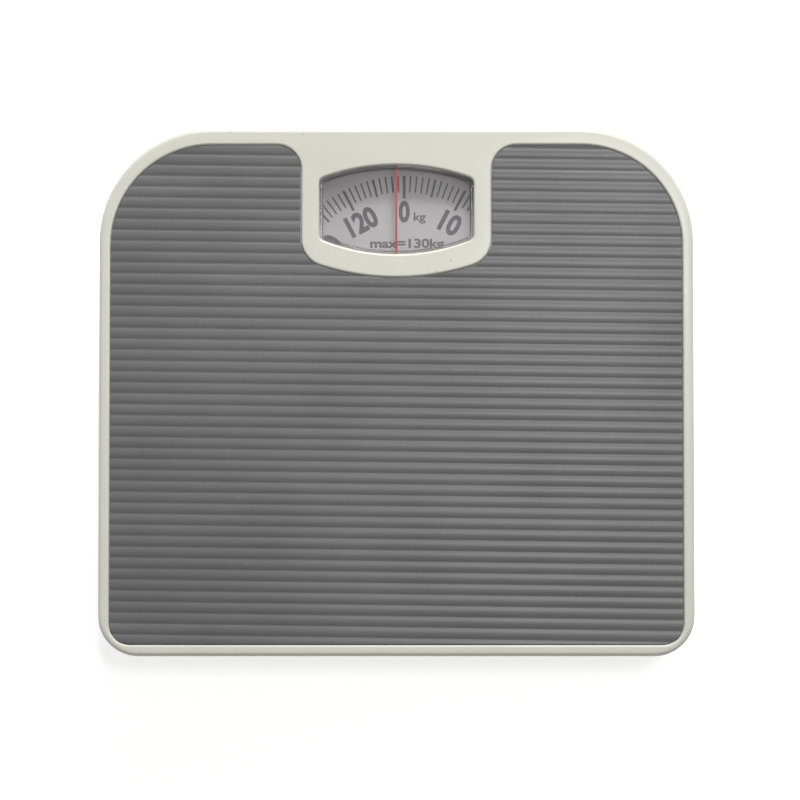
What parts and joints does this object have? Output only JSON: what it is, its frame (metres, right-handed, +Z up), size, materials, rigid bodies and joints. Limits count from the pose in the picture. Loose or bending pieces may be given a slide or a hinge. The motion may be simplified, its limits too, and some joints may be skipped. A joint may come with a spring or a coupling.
{
  "type": "mechanical bathroom scale",
  "caption": "Mechanical bathroom scale: cream pressed-steel platform with a grey ribbed mat, a window over a turning dial, and levers, spring, crank, rack and pinion inside.",
  "frame": {"origin": "centre of the platform outline on the ground under the feet", "axes": "+X across the scale, +Y to the far edge with the dial, +Z up"},
  "size_m": [0.265, 0.235, 0.05],
  "materials": {
    "cream_paint": "satin cream enamel on pressed steel",
    "grey_vinyl": "matt grey vinyl with a fine grain",
    "clear_plastic": "clear polished acrylic",
    "dial_plastic": "white printed plastic",
    "black_plastic": "moulded black plastic",
    "zinc_steel": "zinc-plated pressed steel",
    "spring_steel": "bright drawn steel",
    "brass": "machined brass",
    "foot_rubber": "matt black rubber"
  },
  "bodies": {
    "base": {"base_pan": "cream_paint", "foot_near_left": "foot_rubber", "foot_near_right": "foot_rubber", "foot_far_left": "foot_rubber", "foot_far_right": "foot_rubber", "fulcrum_bracket_long_left": "zinc_steel", "fulcrum_bracket_long_right": "zinc_steel", "fulcrum_bracket_short_left": "zinc_steel", "fulcrum_bracket_short_right": "zinc_steel", "bridge_post_left": "zinc_steel", "bridge_post_right": "zinc_steel", "bridge_pin_left": "spring_steel", "bridge_pin_right": "spring_steel", "wheel_cage": "zinc_steel", "crank_bracket": "zinc_steel", "crank_pin": "spring_steel", "dial_bracket": "zinc_steel", "dial_bracket_screw_left": "zinc_steel", "dial_bracket_screw_right": "zinc_steel", "dial_bush": "brass", "pivot_cup": "brass", "rack_guide": "black_plastic", "spring_post": "zinc_steel", "main_spring": "spring_steel", "rack_return_spring": "spring_steel", "keeper_spring_left": "spring_steel", "keeper_spring_right": "spring_steel"},
    "platform": {"top_cover": "cream_paint", "tread_mat": "grey_vinyl", "window_lens": "clear_plastic", "lens_retainer": "black_plastic", "load_bracket_long_left": "zinc_steel", "load_bracket_long_right": "zinc_steel", "load_bracket_short_left": "zinc_steel", "load_bracket_short_right": "zinc_steel"},
    "long_lever_left": {"long_lever_left": "zinc_steel", "fulcrum_pin_long_left": "spring_steel", "load_pin_long_left": "spring_steel"},
    "long_lever_right": {"long_lever_right": "zinc_steel", "fulcrum_pin_long_right": "spring_steel", "load_pin_long_right": "spring_steel"},
    "short_lever_left": {"short_lever_left": "zinc_steel", "fulcrum_pin_short_left": "spring_steel", "load_pin_short_left": "spring_steel"},
    "short_lever_right": {"short_lever_right": "zinc_steel", "fulcrum_pin_short_right": "spring_steel", "load_pin_short_right": "spring_steel"},
    "spring_plate": {"spring_plate": "zinc_steel", "lower_spring_plug": "zinc_steel"},
    "spring_bridge": {"spring_bridge": "zinc_steel", "upper_spring_plug": "zinc_steel"},
    "crank": {"crank": "zinc_steel"},
    "rack": {"rack": "brass"},
    "dial": {"dial_disc": "dial_plastic", "dial_hub": "black_plastic", "dial_clamp_nut": "black_plastic", "pinion_shaft": "brass"},
    "zero_wheel": {"zero_wheel": "black_plastic"},
    "lift_screw": {"lift_screw": "brass"}
  },
  "joints": [
    {"name": "dial_turn", "type": "hinge", "parent": "base", "child": "dial", "pos_m": [0.0035, 0.0385, 0.0387], "axis": [0, 0, 1], "range_deg": [0, 360], "stiffness_Nm_per_rad": 0.0323, "springref_deg": -5.73},
    {"name": "platform_press", "type": "slide", "parent": "base", "child": "platform", "axis": [0, 0, -1], "range_m": [0, 0.001], "deforming": ["keeper_spring_left", "keeper_spring_right"]},
    {"name": "long_lever_left_tilt", "type": "hinge", "parent": "base", "child": "long_lever_left", "pos_m": [-0.098, -0.084, 0.02], "axis": [-0.8879, 0.46, 0], "range_deg": [0, 2.39]},
    {"name": "long_lever_right_tilt", "type": "hinge", "parent": "base", "child": "long_lever_right", "pos_m": [0.098, -0.084, 0.02], "axis": [-0.8879, -0.46, 0], "range_deg": [0, 2.39]},
    {"name": "short_lever_left_tilt", "type": "hinge", "parent": "base", "child": "short_lever_left", "pos_m": [-0.1, 0.078, 0.02], "axis": [0.8763, 0.4818, 0], "range_deg": [0, 2.39]},
    {"name": "short_lever_right_tilt", "type": "hinge", "parent": "base", "child": "short_lever_right", "pos_m": [0.1, 0.078, 0.02], "axis": [0.8763, -0.4818, 0], "range_deg": [0, 2.39]},
    {"name": "spring_plate_drop", "type": "slide", "parent": "base", "child": "spring_plate", "axis": [0, 0, -1], "range_m": [0, 0.00779], "deforming": ["main_spring"]},
    {"name": "crank_swing", "type": "hinge", "parent": "base", "child": "crank", "pos_m": [0.006, 0.062, 0.01841], "axis": [-1, 0, 0], "range_deg": [0, 52.02]},
    {"name": "rack_slide", "type": "slide", "parent": "base", "child": "rack", "axis": [0, 1, 0], "range_m": [0, 0.01571], "deforming": ["rack_return_spring"]},
    {"name": "zero_wheel_turn", "type": "hinge", "parent": "base", "child": "zero_wheel", "pos_m": [0, 0.104, 0.0095], "axis": [0, 0, 1], "range_deg": [-720, 720]},
    {"name": "lift_screw_rise", "type": "slide", "parent": "base", "child": "lift_screw", "axis": [0, 0, 1], "range_m": [-0.0014, 0.0014]},
    {"name": "bridge_tilt", "type": "hinge", "parent": "base", "child": "spring_bridge", "pos_m": [0, 0.077, 0.0305], "axis": [1, 0, 0], "range_deg": [-2.98, 2.98]}
  ],
  "couplings": [
    {"joint": "dial_turn", "follows": "platform_press", "rad_per_m": 6283.2},
    {"joint": "long_lever_left_tilt", "follows": "platform_press", "rad_per_m": 41.666},
    {"joint": "long_lever_right_tilt", "follows": "platform_press", "rad_per_m": 41.666},
    {"joint": "short_lever_left_tilt", "follows": "platform_press", "rad_per_m": 41.666},
    {"joint": "short_lever_right_tilt", "follows": "platform_press", "rad_per_m": 41.666},
    {"joint": "spring_plate_drop", "follows": "platform_press", "ratio": 7.7898},
    {"joint": "crank_swing", "follows": "platform_press", "rad_per_m": 907.97},
    {"joint": "rack_slide", "follows": "platform_press", "ratio": 15.708},
    {"joint": "lift_screw_rise", "follows": "zero_wheel_turn", "m_per_rad": 0.00011141},
    {"joint": "bridge_tilt", "follows": "zero_wheel_turn", "ratio": 0.0041262}
  ]
}
